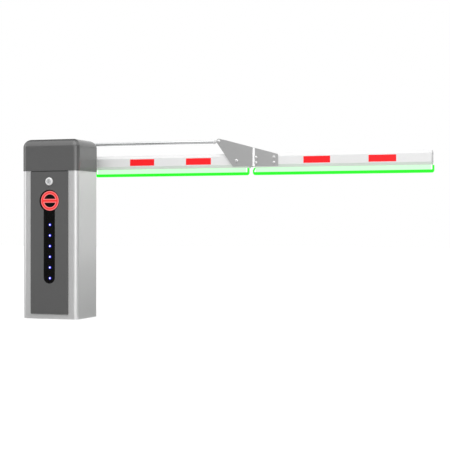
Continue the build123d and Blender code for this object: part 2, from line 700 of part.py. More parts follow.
def parts():
    """Every piece by name."""
    inner_core, inner_edge = inner_strip()
    outer_core, outer_edge = outer_strip()
    return {
        "base_plate": base_plate(),
        "left_wall": side_wall(-1),
        "right_wall": side_wall(1),
        "rear_panel": rear_panel(),
        "front_bottom_rail": front_rail(0, RAIL_TOP, RAIL_TOP - SHEET),
        "front_head_rail": front_rail(HEAD_RAIL_BOTTOM, WALL_TOP, HEAD_RAIL_BOTTOM),
        "service_door": service_door(),
        "display_tray": display_tray(),
        "stop_ring_light": ring_light(),
        "status_leds": status_leds(),
        "lock_collar": lock_collar(),
        "lock_barrel": lock_barrel(),
        "top_cap": top_cap(),
        "bearing_plate": bearing_plate(),
        "shaft_bearing": shaft_bearing(),
        "drive_shelf": drive_shelf(),
        "drive_gearbox": drive_gearbox(),
        "drive_motor": drive_motor(),
        "rod_anchor_bracket": rod_anchor_bracket(),
        "rod_anchor_pin": anchor_pin(),
        "main_shaft": main_shaft(),
        "clamp_jaw_front": clamp_plate(BOOM_FACE_Y - CLAMP_THICK, BOOM_FACE_Y),
        "clamp_jaw_rear": clamp_plate(BOOM_BACK_Y, BOOM_BACK_Y + CLAMP_THICK),
        "clamp_bolts": clamp_bolts(),
        "inner_boom_tube": inner_tube(),
        "inner_boom_root_plug": boom_plug(INNER_START, 1),
        "inner_boom_fold_plug": boom_plug(INNER_END, -1),
        "inner_lamp_strip": inner_core,
        "inner_lamp_edge": inner_edge,
        "fold_bushes": fold_bushes(),
        "fold_bracket_front": bracket_front(),
        "fold_bracket_rear": bracket_rear(),
        "fold_bracket_bolts": bracket_bolts(),
        "fold_pin": pivot_bolt(FOLD_X, SHAFT_Z),
        "ear_pin": pivot_bolt(EAR_X, EAR_Z),
        "ear_spacers": ear_spacers(),
        "outer_boom_tube": outer_tube(),
        "outer_boom_root_plug": outer_root_plug(),
        "outer_boom_tip_plug": boom_plug(OUTER_END, -1),
        "outer_lamp_strip": outer_core,
        "outer_lamp_edge": outer_edge,
        "tie_rod_bar": tie_rod_bar(),
        "rod_end_cabinet": rod_end(ANCHOR_PIN_X, 1, ROD_START, RUNNING),
        "rod_end_fold": rod_end(EAR_X, -1, ROD_END, OPEN_PIVOT),
        "tie_rod_nuts": jam_nuts(),
    }


os.makedirs("parts", exist_ok=True)
for name, shape in parts().items():
    export_step(shape, f"parts/{name}.step")
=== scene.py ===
# %% [markdown]
# A folding-arm parking barrier, dressed for its picture. The construction is already there as
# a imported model, and this lesson gives it its finishes, its soft edges and its small hardware.
# The first step loads that model, because most sizes and places below are read from it.

# %% Load the model and keep its box
import json
import math

import bmesh
import bpy
from mathutils import Matrix, Vector


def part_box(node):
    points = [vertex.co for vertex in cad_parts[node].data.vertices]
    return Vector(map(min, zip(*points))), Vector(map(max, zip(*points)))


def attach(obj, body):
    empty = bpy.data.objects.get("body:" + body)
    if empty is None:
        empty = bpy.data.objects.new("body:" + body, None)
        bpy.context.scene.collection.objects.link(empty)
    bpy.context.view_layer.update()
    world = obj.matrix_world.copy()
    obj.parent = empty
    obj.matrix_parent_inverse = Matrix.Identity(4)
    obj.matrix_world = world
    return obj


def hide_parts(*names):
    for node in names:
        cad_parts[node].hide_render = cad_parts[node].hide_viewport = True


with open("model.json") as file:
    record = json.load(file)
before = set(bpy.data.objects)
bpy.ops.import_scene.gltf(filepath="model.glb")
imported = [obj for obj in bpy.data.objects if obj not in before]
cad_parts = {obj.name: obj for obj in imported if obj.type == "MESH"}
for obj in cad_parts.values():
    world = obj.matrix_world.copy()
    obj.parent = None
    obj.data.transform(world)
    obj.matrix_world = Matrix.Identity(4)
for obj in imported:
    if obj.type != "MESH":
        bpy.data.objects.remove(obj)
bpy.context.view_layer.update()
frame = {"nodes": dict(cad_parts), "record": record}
print("pieces in the model:", len(frame["nodes"]))

# %% [markdown]
# Real sizes are easiest to read in millimetres, while Blender works in metres here. Colours are
# written as the hex values that a screen shows, and shaders want linear light. Small helpers
# do both changes, so that the rest of the file can speak a maker's language.

# %% Millimetres and colours
MM = 0.001


def colour(hex_value):
    """The linear colour of an sRGB hex value, with full alpha."""
    parts = [int(hex_value[i : i + 2], 16) / 255 for i in (1, 3, 5)]
    linear = [p / 12.92 if p <= 0.04045 else ((p + 0.055) / 1.055) ** 2.4 for p in parts]
    return (*linear, 1.0)


def shade(hex_value, factor):
    """The same colour, lighter or darker by a factor in linear light."""
    return (*[min(1.0, c * factor) for c in colour(hex_value)[:3]], 1.0)


print("middle grey in linear light:", round(colour("#808080")[0], 3))

# %% [markdown]
# Every finish is a small tree of nodes. One function adds a node, sets its own settings and
# fills its inputs, either with a value or with a link from another node. A second starts a
# material with a Principled shader, named for the real finish.

# %% Adding nodes and starting a material


def add_node(tree, kind, settings=None, inputs=None):
    """Adds a node; settings are its own fields, inputs are values or sockets to link."""
    node = tree.nodes.new(kind)
    for key, value in (settings or {}).items():
        setattr(node, key, value)
    for key, value in (inputs or {}).items():
        if isinstance(value, bpy.types.NodeSocket):
            tree.links.new(value, node.inputs[key])
        else:
            node.inputs[key].default_value = value
    return node


def start_material(name):
    """A new material, its tree, its shader and the place on the piece in metres."""
    material = bpy.data.materials.new(name)
    material.use_nodes = True
    tree = material.node_tree
    tree.nodes.clear()
    surface = add_node(tree, "ShaderNodeBsdfPrincipled")
    add_node(tree, "ShaderNodeOutputMaterial", inputs={"Surface": surface.outputs[0]})
    place = add_node(tree, "ShaderNodeTexCoord").outputs["Object"]
    return material, tree, surface, place


print("helpers ready: add_node and start_material")

# %% [markdown]
# Powder coat is polyester powder, charged, blown on to steel and baked until it flows. It gives
# an even, slightly glossy film with a fine orange peel and hardly any cloudiness. The peel is
# a noise of about 2 mm for the bump. A much wider noise drifts the colour by three percent and
# the gloss by less, which keeps large flat sheets from looking computed.

# %% Powder coat
PEEL = 2.2 * MM
CLOUD = 160 * MM
TINT_DRIFT = 0.03
GLOSS_DRIFT = 0.008
# A Mix node for colours has its factor at input 0, its colours at 6 and 7, its result at 2
FACTOR, COLOUR_A, COLOUR_B, MIXED = 0, 6, 7, 2


def powder_coat(name, hex_value, roughness, flake=0.0, ior=1.5, peel_depth=0.04 * MM):
    """Baked polyester powder on steel; flake is the share of aluminium in a metallic powder."""
    material, tree, surface, place = start_material(name)
    peel = add_node(tree, "ShaderNodeTexNoise", inputs={
        "Vector": place, "Scale": 1 / PEEL, "Detail": 2.0, "Roughness": 0.45})
    cloud = add_node(tree, "ShaderNodeTexNoise", inputs={
        "Vector": place, "Scale": 1 / CLOUD, "Detail": 3.0, "Roughness": 0.5})
    drift = add_node(tree, "ShaderNodeMix", {"data_type": "RGBA"}, {
        FACTOR: cloud.outputs[0],
        COLOUR_A: shade(hex_value, 1 - TINT_DRIFT), COLOUR_B: shade(hex_value, 1 + TINT_DRIFT)})
    gloss = add_node(tree, "ShaderNodeMapRange", inputs={
        "Value": cloud.outputs[0],
        "To Min": roughness - GLOSS_DRIFT, "To Max": roughness + GLOSS_DRIFT})
    bump = add_node(tree, "ShaderNodeBump", inputs={
        "Height": peel.outputs[0], "Distance": peel_depth, "Strength": 1.0})
    tree.links.new(drift.outputs[MIXED], surface.inputs["Base Color"])
    tree.links.new(gloss.outputs[0], surface.inputs["Roughness"])
    tree.links.new(bump.outputs[0], surface.inputs["Normal"])
    surface.inputs["IOR"].default_value = ior
    surface.inputs["Metallic"].default_value = flake
    return material


print("peel (mm):", PEEL / MM, "cloud (mm):", CLOUD / MM)

# %% [markdown]
# Cabinet, cap, brackets and motor are coated in this way. They differ in colour, in gloss and
# in how much aluminium flake is in the powder. Flake makes a coat partly metallic, so it
# changes with the light as you walk round it, while a plain powder keeps its colour.

# %% Coats on cabinet, cap, brackets and motor
# Silver has aluminium flake in its powder: pale, with a soft mirror inside the colour.
silver_coat = powder_coat("powder_coat_silver", "#ECECEC", 0.28, flake=0.4)
# Graphite is dark and very glossy, so cap and door end in crisp light edges.
graphite_coat = powder_coat("powder_coat_graphite", "#676767", 0.12, ior=1.68)
# Plate grey has more flake and less white: bracket and clamp look denser than the cabinet.
bracket_coat = powder_coat("powder_coat_plate_grey", "#C9C9C9", 0.30, flake=0.5)
# Motor enamel is a plain charcoal, half matt, as on any drive inside a cabinet.
motor_enamel = powder_coat("motor_enamel_charcoal", "#3A3D40", 0.35)
print("coats:", [m.name for m in (silver_coat, graphite_coat, bracket_coat, motor_enamel)])

# %% [markdown]
# The boom is an aluminium extrusion with a white gloss enamel. It looks like powder coat but
# flows out flatter, so the peel is shallower and the mirror sharper, while the white below
# stays soft. The plugs that close its ends are moulded ABS. The same function makes both.

# %% White enamel and white plastic
# Gloss enamel is nearly pure white, with sharp pale reflections along its chamfers.
white_enamel = powder_coat("gloss_enamel_white", "#FAFAFA", 0.12, peel_depth=0.02 * MM)
# Moulded ABS is a little greyer and much duller, so the plugs stand out from the tube.
plug_plastic = powder_coat("moulded_abs_white", "#EDEDED", 0.42)
print("whites:", white_enamel.name, plug_plastic.name)

# %% [markdown]
# Metals get their colour from reflection, so the base colour is the tint of the mirror and
# the finishing marks live in the roughness and the bump. One function covers them all: the
# noise is stretched along the direction in which the tool ran. Real lines and pores are finer
# than a tenth of a millimetre, so they are drawn coarser to show at all.

# %% Metal with tool marks
EVEN = (1, 1, 1)
ALONG_BAR = (60, 1, 1)
ALONG_SHAFT = (1, 20, 1)
MARK_GLOSS = (0.8, 1.25)
MARK_TINT = (0.93, 1.05)


def metal(name, hex_value, roughness, grain_mm, depth_mm, bare=1.0, stretch=EVEN):
    """Metal with tool marks. Stretch draws them out on X, Y and Z; bare falls below 1 for a
    satin plating, which scatters some light as paint does."""
    material, tree, surface, place = start_material(name)
    stretched = add_node(tree, "ShaderNodeMapping", inputs={
        "Vector": place, "Scale": tuple(1 / s for s in stretch)})
    marks = add_node(tree, "ShaderNodeTexNoise", inputs={
        "Vector": stretched.outputs[0], "Scale": 1 / (grain_mm * MM),
        "Detail": 4.0, "Roughness": 0.6})
    gloss = add_node(tree, "ShaderNodeMapRange", inputs={
        "Value": marks.outputs[0], "From Min": 0.3, "From Max": 0.7,
        "To Min": roughness * MARK_GLOSS[0], "To Max": roughness * MARK_GLOSS[1]})
    tint = add_node(tree, "ShaderNodeMix", {"data_type": "RGBA"}, {
        FACTOR: marks.outputs[0],
        COLOUR_A: shade(hex_value, MARK_TINT[0]), COLOUR_B: shade(hex_value, MARK_TINT[1])})
    bump = add_node(tree, "ShaderNodeBump", inputs={
        "Height": marks.outputs[0], "Distance": depth_mm * MM, "Strength": 1.0})
    tree.links.new(tint.outputs[MIXED], surface.inputs["Base Color"])
    tree.links.new(gloss.outputs[0], surface.inputs["Roughness"])
    tree.links.new(bump.outputs[0], surface.inputs["Normal"])
    surface.inputs["Metallic"].default_value = bare
    return material


print("tool marks move the roughness by factors of", MARK_GLOSS)

# %% [markdown]
# The small parts are each finished for their work. Drawn bar has fine lines along its length,
# plated parts have hardly any, hot-dip zinc has soft cloudy patches and castings are grainy.
# The numbers are roughness, size and depth of the marks in millimetres, and the bare share.

# %% Metals on the barrier
# Satin chrome: nearly white, and so soft that the collar shows one broad highlight.
satin_chrome = metal("chrome_plate_satin", "#FFFFFF", 0.3, 1.5, 0.004, bare=0.15)
# Die-cast zinc: a quiet light grey with the faint skin of the mould.
zinc_cast = metal("zinc_die_cast_satin", "#CFD0D1", 0.4, 0.8, 0.02, bare=0.2)
# Satin zinc plate: pale and even, so pins and rod ends stay light against the grey plates.
satin_zinc = metal("zinc_plate_satin", "#EFEFEF", 0.45, 3, 0.006, bare=0.3)
# Glossy zinc plate: small heads turn bright above and dark below.
dome_zinc = metal("zinc_plate_blue_gloss", "#F4F4F4", 0.3, 3, 0.004, bare=0.7)
# Bright zinc plate: a clear grey mirror on screws, bolts and spacers.
zinc_plate = metal("zinc_plate_bright", "#C4C7CA", 0.28, 6, 0.01)
# Hot-dip zinc: dull, with cloudy patches where the crystals grew.
galvanised = metal("hot_dip_galvanised", "#A9ADB0", 0.42, 14, 0.03)
# Bright drawn steel: one sharp line of light along the tie rod.
drawn_steel = metal("bright_drawn_steel", "#E4E5E6", 0.18, 0.5, 0.004, 0.7, ALONG_BAR)
# Turned steel, polished lengthwise: a grey mirror with faint lines along the shaft.
turned_steel = metal("turned_steel", "#C9CACB", 0.22, 0.5, 0.006, stretch=ALONG_SHAFT)
# Sand-cast aluminium: matt, light grey and visibly grainy.
cast_aluminium = metal("sand_cast_aluminium", "#B4B5B6", 0.5, 1.2, 0.15)
# Sintered bronze: a dull brown gold with the pores of pressed powder.
bronze = metal("sintered_bronze", "#A8814E", 0.45, 0.3, 0.01)
print("metals:", satin_chrome.name, drawn_steel.name, bronze.name)

# %% [markdown]
# The display tray is black acrylic, cast and then formed: a deep black body under a clear, very
# smooth face. Its reflections do all the work, so the base is nearly black and the roughness
# is low. The bump has a trace of the waves from forming, and the gloss the smears of a cloth.

# %% Black acrylic
FORMING_WAVE = 25 * MM
SMEAR = 4 * MM


def black_acrylic():
    """Gloss black acrylic with slight forming waves."""
    material, tree, surface, place = start_material("acrylic_gloss_black")
    waves = add_node(tree, "ShaderNodeTexNoise", inputs={
        "Vector": place, "Scale": 1 / FORMING_WAVE, "Detail": 1.0})
    smears = add_node(tree, "ShaderNodeTexNoise", inputs={
        "Vector": place, "Scale": 1 / SMEAR, "Detail": 5.0, "Roughness": 0.7})
    gloss = add_node(tree, "ShaderNodeMapRange", inputs={
        "Value": smears.outputs[0], "To Min": 0.10, "To Max": 0.22})
    bump = add_node(tree, "ShaderNodeBump", inputs={
        "Height": waves.outputs[0], "Distance": 0.05 * MM, "Strength": 1.0})
    surface.inputs["Base Color"].default_value = colour("#0F0F0F")
    surface.inputs["IOR"].default_value = 1.49
    tree.links.new(gloss.outputs[0], surface.inputs["Roughness"])
    tree.links.new(bump.outputs[0], surface.inputs["Normal"])
    return material


tray_acrylic = black_acrylic()
print("tray:", tray_acrylic.name)

# %% [markdown]
# The stop lamp is a tinted lens lit from behind. Light leaks out of the cut edges of such a
# lens, so they are paler than its face. The distance from any point to the nearest edge is
# worked out from the ring and the bar, and it drives the glow from pale edge to full red. The
# side walls are masked, so the glow fades out just below the face.

# %% Red stop lamp
RING_LOW, RING_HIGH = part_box("stop_ring_light")
RING_CENTRE = (RING_LOW + RING_HIGH) / 2
RING_OUTER = (RING_HIGH.x - RING_LOW.x) / 2
RING_INNER = 36.0 * MM
BAR_HALF = 10.5 * MM
EDGE_GLOW = (3.5 * MM, 7.5 * MM)
MASK_DEPTH = 1.2 * MM
RED_LIGHT = 0.92


def red_lens():
    """Tinted polycarbonate, glowing most at its edges."""
    material, tree, surface, place = start_material("polycarbonate_lens_red")
    centred = add_node(tree, "ShaderNodeMapping", inputs={
        "Vector": place, "Location": (0, 0, -RING_CENTRE.z), "Scale": (1, 0, 1)})
    quarter = add_node(tree, "ShaderNodeVectorMath", {"operation": "ABSOLUTE"}, {
        0: centred.outputs[0]})
    radius = add_node(tree, "ShaderNodeVectorMath", {"operation": "LENGTH"}, {
        0: quarter.outputs[0]}).outputs["Value"]
    rise = add_node(tree, "ShaderNodeSeparateXYZ", inputs={0: quarter.outputs[0]}).outputs["Z"]
    in_bar, in_ring, from_rim = [
        add_node(tree, "ShaderNodeMath", {"operation": "SUBTRACT"}, {0: far, 1: near}).outputs[0]
        for far, near in ((BAR_HALF, rise), (radius, RING_INNER), (RING_OUTER, radius))]
    inside = add_node(tree, "ShaderNodeMath", {"operation": "MAXIMUM"}, {0: in_bar, 1: in_ring})
    depth = add_node(tree, "ShaderNodeMath", {"operation": "MINIMUM"}, {
        0: inside.outputs[0], 1: from_rim})
    share = add_node(tree, "ShaderNodeMapRange", inputs={
        "Value": depth.outputs[0], "From Min": EDGE_GLOW[0], "From Max": EDGE_GLOW[1]})
    glow = add_node(tree, "ShaderNodeMix", {"data_type": "RGBA"}, {
        FACTOR: share.outputs[0], COLOUR_A: colour("#FF8080"), COLOUR_B: colour("#F83636")})
    behind = add_node(tree, "ShaderNodeSeparateXYZ", inputs={0: place}).outputs["Y"]
    masked = add_node(tree, "ShaderNodeMapRange", inputs={
        "Value": behind, "To Min": RED_LIGHT, "To Max": 0.0,
        "From Min": RING_LOW.y + MASK_DEPTH, "From Max": RING_LOW.y + 2 * MASK_DEPTH})
    surface.inputs["Base Color"].default_value = colour("#5A0A0A")
    surface.inputs["Roughness"].default_value = 0.25
    surface.inputs["IOR"].default_value = 1.58
    tree.links.new(glow.outputs[MIXED], surface.inputs["Emission Color"])
    tree.links.new(masked.outputs[0], surface.inputs["Emission Strength"])
    return material


lamp_red = red_lens()
print("stop lamp centre (mm):", [round(v / MM, 1) for v in RING_CENTRE])

# %% [markdown]
# Each status lamp is a clear domed lens over a blue-white diode. Its middle is so bright that
# it washes out to white, and the light turns a pure blue towards the rim. The lamps repeat at
# a fixed pitch, so one material serves all six: the height is wrapped round to the nearest
# lamp, and the distance to its centre picks the colour from a ramp.

# %% Blue-white status lamps
LED_LOW, LED_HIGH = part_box("status_leds")
LED_RADIUS = (LED_HIGH.x - LED_LOW.x) / 2
LED_COUNT = 6
LED_PITCH = (LED_HIGH.z - LED_LOW.z - 2 * LED_RADIUS) / (LED_COUNT - 1)
LENS_GLOW = (
    (0.0, "#FFFFFF"), (0.36, "#FFFFFF"), (0.5, "#5A5AE6"), (0.75, "#1A1AC8"), (1.0, "#060678"))
LENS_LIGHT = 1.9


def set_stops(ramp, stops):
    """Gives a colour ramp its stops of (place, hex); the first and last stand at its ends."""
    ramp.elements[0].color = colour(stops[0][1])
    ramp.elements[1].color = colour(stops[-1][1])
    for place, hex_value in stops[1:-1]:
        ramp.elements.new(place).color = colour(hex_value)


def led_lens():
    """Clear epoxy dome over a blue-white diode; lengths are in lens radii."""
    material, tree, surface, place = start_material("epoxy_lens_blue_white")
    half_pitch = LED_PITCH / 2 / LED_RADIUS
    above_first = add_node(tree, "ShaderNodeMapping", inputs={
        "Vector": place, "Scale": (1 / LED_RADIUS, 0, 1 / LED_RADIUS),
        "Location": (0, 0, -(LED_LOW.z + LED_RADIUS) / LED_RADIUS)})
    wrapped = add_node(tree, "ShaderNodeVectorMath", {"operation": "WRAP"}, {
        0: above_first.outputs[0], 1: (half_pitch,) * 3, 2: (-half_pitch,) * 3})
    share = add_node(tree, "ShaderNodeVectorMath", {"operation": "LENGTH"}, {
        0: wrapped.outputs[0]}).outputs["Value"]
    glow = add_node(tree, "ShaderNodeValToRGB", inputs={0: share})
    set_stops(glow.color_ramp, LENS_GLOW)
    surface.inputs["Base Color"].default_value = colour("#06061C")
    surface.inputs["Roughness"].default_value = 0.1
    surface.inputs["IOR"].default_value = 1.5
    surface.inputs["Specular IOR Level"].default_value = 0.2
    tree.links.new(glow.outputs[0], surface.inputs["Emission Color"])
    surface.inputs["Emission Strength"].default_value = LENS_LIGHT
    return material


lamp_blue = led_lens()
print("status lamp pitch (mm):", round(LED_PITCH / MM, 1))

# %% [markdown]
# The lamp strip under the boom is an opal silicone body with green diodes behind it, so bright
# that its middle washes out to mint, and to white where the body ends. The rim round it stays
# pure green, only a little paler along its outer edge. Both glow by themselves and light the
# underside of the boom. Their colour follows the distance to the nearest end or lower edge.

# %% Opal and green strip
RIM_GLOW = ((0.0, "#46FA46"), (1.0, "#22FA22"))
RIM_DEPTH = 4 * MM
CORE_GLOW = ((0.0, "#F4FFF6"), (0.7, "#E2FFE6"), (1.0, "#B7FABC"))
CORE_DEPTH = 8 * MM
STRIP_LIGHT = 1.3


def lit_silicone(name, node, glow_stops, reach, from_below):
    """A lit body whose colour follows the depth behind its ends, and its lower edge if asked."""
    material, tree, surface, place = start_material(name)
    low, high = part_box(node)
    from_low, from_high = [
        add_node(tree, "ShaderNodeVectorMath", {"operation": "SUBTRACT"}, {0: far, 1: near})
        for far, near in ((place, low), (high, place))]
    from_sides = add_node(tree, "ShaderNodeVectorMath", {"operation": "MINIMUM"}, {
        0: from_low.outputs[0], 1: from_high.outputs[0]})
    depth = add_node(tree, "ShaderNodeSeparateXYZ", inputs={
        0: from_sides.outputs[0]}).outputs["X"]
    if from_below:
        above = add_node(tree, "ShaderNodeSeparateXYZ", inputs={
            0: from_low.outputs[0]}).outputs["Z"]
        depth = add_node(tree, "ShaderNodeMath", {"operation": "MINIMUM"}, {
            0: depth, 1: above}).outputs[0]
    share = add_node(tree, "ShaderNodeMapRange", inputs={"Value": depth, "From Max": reach})
    glow = add_node(tree, "ShaderNodeValToRGB", inputs={0: share.outputs[0]})
    set_stops(glow.color_ramp, glow_stops)
    surface.inputs["Base Color"].default_value = shade(glow_stops[-1][1], 0.25)
    surface.inputs["Roughness"].default_value = 0.4
    surface.inputs["Specular IOR Level"].default_value = 0.25
    tree.links.new(glow.outputs[0], surface.inputs["Emission Color"])
    surface.inputs["Emission Strength"].default_value = STRIP_LIGHT
    return material


strip_finish = {}
for side in ("inner", "outer"):
    core, rim = side + "_lamp_strip", side + "_lamp_edge"
    # Opal silicone scatters the light inside it, so the body looks milky and soft.
    strip_finish[core] = lit_silicone(
        "silicone_opal_" + side, core, CORE_GLOW, CORE_DEPTH, False)
    # Green silicone guides the light to its rim, a thin saturated line.
    strip_finish[rim] = lit_silicone(
        "silicone_green_" + side, rim, RIM_GLOW, RIM_DEPTH, True)
print("strips:", list(strip_finish))

# %% [markdown]
# The red bands are retroreflective sheeting: tiny prism cells under a clear film. Seen from a
# few metres they read as a flat strong red, brighter than a painted one. That brightness is
# painted light: a little of the colour is given off as a glow, though the sheeting is no lamp.
# The real prisms are too fine to show. Their groups, 4 mm across, stand for them and tint the
# red slightly along the seams.

# %% Retroreflective red
PRISM_GROUP = 4 * MM
SEAM_SHARE = 0.12
# Painted glow: the share of the red given off as light, though the sheeting is no lamp
RED_PAINTED_GLOW = 0.24


def sheeting_red():
    """Prismatic sheeting with a faint cell pattern under gloss film, and a painted glow of its
    red.
    """
    material, tree, surface, place = start_material("prismatic_sheeting_red_painted_glow")
    cells = add_node(tree, "ShaderNodeTexVoronoi", {"feature": "DISTANCE_TO_EDGE"}, {
        "Vector": place, "Scale": 1 / PRISM_GROUP, "Randomness": 0.25})
    seam = add_node(tree, "ShaderNodeMapRange", inputs={
        "Value": cells.outputs["Distance"], "From Min": 0.0, "From Max": SEAM_SHARE})
    red = add_node(tree, "ShaderNodeMix", {"data_type": "RGBA"}, {
        FACTOR: seam.outputs[0], COLOUR_A: colour("#F0282E"), COLOUR_B: colour("#FA1C24")})
    for socket in ("Base Color", "Emission Color"):
        tree.links.new(red.outputs[MIXED], surface.inputs[socket])
    # Painted glow of the sheeting's red
    surface.inputs["Emission Strength"].default_value = RED_PAINTED_GLOW
    surface.inputs["Roughness"].default_value = 0.25
    surface.inputs["IOR"].default_value = 1.4
    return material


band_red = sheeting_red()
print("bands:", band_red.name)

# %% [markdown]
# Real sheet, plate and extrusion never end in a knife edge. A piece of the model is a closed
# mesh with sharp edges, so a copy of it is merged, its flat triangles are joined into whole
# faces, and every edge that turns by more than 30 degrees is bevelled by a real radius. The
# copy then stands for the model's piece on the same body.

# %% Softening the edges of a piece
SHARP = math.radians(30)
FLAT = math.radians(0.5)
SAME_POINT = 0.005 * MM
EDGE_STEPS = 2

behaviour = frame["record"]["behaviour"]
body_of_node = {node: body for body, nodes in behaviour["bodies"].items() for node in nodes}


def finish_mesh(work, name, material):
    """Turns a bmesh into a smooth-shaded object with true flat faces."""
    mesh = bpy.data.meshes.new(name)
    work.to_mesh(mesh)
    work.free()
    piece = bpy.data.objects.new(name, mesh)
    bpy.context.scene.collection.objects.link(piece)
    mesh.materials.append(material)
    for face in mesh.polygons:
        face.use_smooth = True
    mesh.set_sharp_from_angle(angle=SHARP)
    normals = piece.modifiers.new("flat_faces", "WEIGHTED_NORMAL")
    normals.keep_sharp = True
    return piece


def softened(node, material, radius):
    """A copy of a node with rounded edges, riding where the node rides."""
    work = bmesh.new()
    work.from_mesh(frame["nodes"][node].data)
    bmesh.ops.remove_doubles(work, verts=work.verts, dist=SAME_POINT)
    bmesh.ops.dissolve_limit(work, angle_limit=FLAT, verts=work.verts, edges=work.edges)
    edges = [e for e in work.edges if len(e.link_faces) == 2 and e.calc_face_angle() > SHARP]
    if radius:
        bmesh.ops.bevel(
            work, geom=edges, offset=radius, offset_type="OFFSET", segments=EDGE_STEPS,
            affect="EDGES", profile=0.5, material=-1, clamp_overlap=True)
    piece = finish_mesh(work, node + "_soft", material)
    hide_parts(node)
    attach(piece, body_of_node[node])
    return piece


print("bodies:", sorted(set(body_of_node.values())))

# %% [markdown]
# Each piece of the model gets the finish of the real part. The list says for every node which
# finish it has and how far its edges are rounded, in millimetres. The picture shows no green in
# the cabinet's side, so the lit strips are left out of reflections.

# %% Finishes and edge radii
FINISHES = {
    "left_wall": (silver_coat, 0.8),
    "right_wall": (silver_coat, 0.8),
    "rear_panel": (silver_coat, 0.8),
    "front_bottom_rail": (silver_coat, 0.8),
    "front_head_rail": (silver_coat, 0),
    "base_plate": (galvanised, 0.5),
    "service_door": (graphite_coat, 0.7),
    "top_cap": (graphite_coat, 0.8),
    "display_tray": (tray_acrylic, 0.4),
    "stop_ring_light": (lamp_red, 0.3),
    "lock_barrel": (zinc_cast, 0.4),
    "bearing_plate": (galvanised, 0),
    "shaft_bearing": (turned_steel, 0.4),
    "drive_shelf": (galvanised, 0),
    "drive_gearbox": (cast_aluminium, 0),
    "drive_motor": (motor_enamel, 0),
    "rod_anchor_bracket": (bracket_coat, 0.8),
    "rod_anchor_pin": (turned_steel, 0.5),
    "main_shaft": (turned_steel, 0.6),
    "clamp_jaw_front": (bracket_coat, 1.0),
    "clamp_jaw_rear": (bracket_coat, 1.0),
    "clamp_bolts": (zinc_plate, 0.5),
    "inner_boom_tube": (white_enamel, 1.5),
    "inner_boom_root_plug": (plug_plastic, 0.8),
    "inner_boom_fold_plug": (plug_plastic, 0.8),
    "fold_bushes": (bronze, 0.4),
    "fold_bracket_front": (bracket_coat, 0.6),
    "fold_bracket_rear": (bracket_coat, 0.6),
    "fold_bracket_bolts": (satin_zinc, 0.5),
    "fold_pin": (satin_zinc, 0.5),
    "ear_pin": (satin_zinc, 0.5),
    "ear_spacers": (zinc_plate, 0.4),
    "outer_boom_tube": (white_enamel, 1.5),
    "outer_boom_root_plug": (plug_plastic, 0.8),
    "outer_boom_tip_plug": (plug_plastic, 0.8),
    "tie_rod_bar": (drawn_steel, 0.4),
    "rod_end_cabinet": (satin_zinc, 0.4),
    "rod_end_fold": (satin_zinc, 0.4),
    "tie_rod_nuts": (satin_zinc, 0.4),
}

for node, (material, radius_mm) in FINISHES.items():
    softened(node, material, radius_mm * MM)
for node, material in strip_finish.items():
    softened(node, material, 0).visible_glossy = False
print("finished pieces:", len(FINISHES) + len(strip_finish), "of", len(frame["nodes"]))

# %% [markdown]
# The bands are cut from sheeting 0.4 mm thick with rounded corners and stuck on both faces
# of the boom. Each starts as a flat grid cell, its corners are bevelled to the cutting
# radius, and the outline is pushed out to the film's thickness.

# %% Reflective bands
BOOM_LOW, BOOM_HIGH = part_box("outer_boom_tube")
BAND_LENGTH = 149 * MM
BAND_HEIGHT = 37 * MM
BAND_THICK = 0.4 * MM
BAND_CORNER = 2 * MM
CORNER_STEPS = 4
BANDS = {"inner_boom": (345 * MM, 687 * MM), "outer_boom": (1370 * MM, 1729 * MM)}


def band(work, start, face_y, outward):
    """One band on a face of the boom; outward is the direction its face looks in."""
    mid_z = (BOOM_LOW.z + BOOM_HIGH.z) / 2
    made = bmesh.ops.create_grid(work, x_segments=1, y_segments=1, size=0.5)["verts"]
    place = Matrix.Translation((start + BAND_LENGTH / 2, face_y, mid_z))
    turn = Matrix.Rotation(math.radians(90), 4, "X")
    size = Matrix.Diagonal((BAND_LENGTH, BAND_HEIGHT, 1, 1))
    bmesh.ops.transform(work, matrix=place @ turn @ size, verts=made)
    rounded = bmesh.ops.bevel(
        work, geom=made, offset=BAND_CORNER, offset_type="OFFSET", segments=CORNER_STEPS,
        affect="VERTICES", profile=0.5, material=-1)["verts"]
    grown = bmesh.ops.extrude_face_region(work, geom=rounded[0].link_faces[:])["geom"]
    moved = [v for v in grown if isinstance(v, bmesh.types.BMVert)]
    bmesh.ops.translate(work, verts=moved, vec=(0, outward * BAND_THICK, 0))


for body, starts in BANDS.items():
    work = bmesh.new()
    for start in starts:
        band(work, start, BOOM_LOW.y, -1)
        band(work, start, BOOM_HIGH.y, 1)
    bmesh.ops.recalc_face_normals(work, faces=work.faces)
    bands = finish_mesh(work, body + "_bands", band_red)
    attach(bands, body)
print("bands on:", list(BANDS))

# %% [markdown]
# Screws, bolts and lenses are all turned or forged about one axis. So one function builds them:
# it sets rings of points one above the other, joins each to the next and closes both ends. A
# ring may follow a circle, or a hexagon for a spanner or a socket key.

# %% Pieces built up from rings
RING_STEPS = 24
SIXTH = math.radians(60)
TURNS = {
    "front": Matrix.Rotation(math.radians(90), 4, "X"),
    "back": Matrix.Rotation(math.radians(-90), 4, "X"),
    "tip": Matrix.Rotation(math.radians(90), 4, "Y"),
    "root": Matrix.Rotation(math.radians(-90), 4, "Y"),
}


